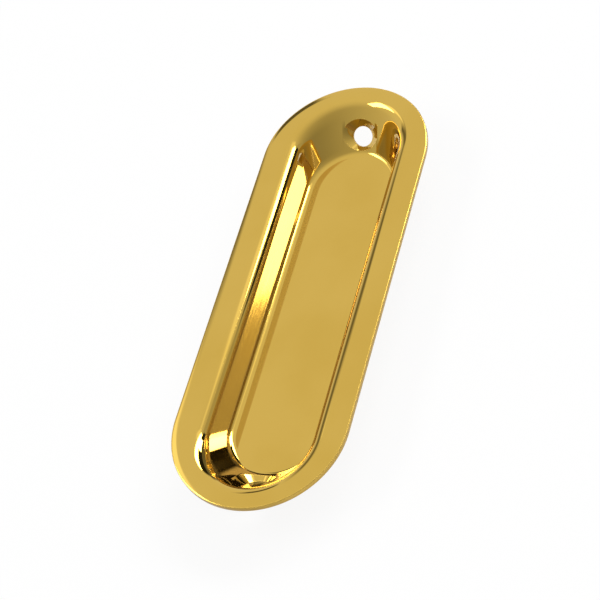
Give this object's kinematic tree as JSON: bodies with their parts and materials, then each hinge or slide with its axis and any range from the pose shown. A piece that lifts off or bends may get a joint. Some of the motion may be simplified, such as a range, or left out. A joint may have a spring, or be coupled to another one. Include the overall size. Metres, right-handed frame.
{
  "type": "flush pull",
  "caption": "Oblong flush pull for a pocket door, with a crowned rim, a finger recess with drafted sides and sloping ends, and a countersunk screw hole in each end.",
  "frame": {"origin": "middle of the cup's flat underside, which is the middle of the bottom of the bounding box", "axes": "+X across the pull, +Y along its length, +Z out of the face of the door, the way the recess opens"},
  "size_m": [0.0318, 0.0888, 0.0087],
  "materials": {
    "brass": "polished and lacquered"
  },
  "bodies": {
    "root": {"flush_pull": "brass"}
  },
  "joints": []
}
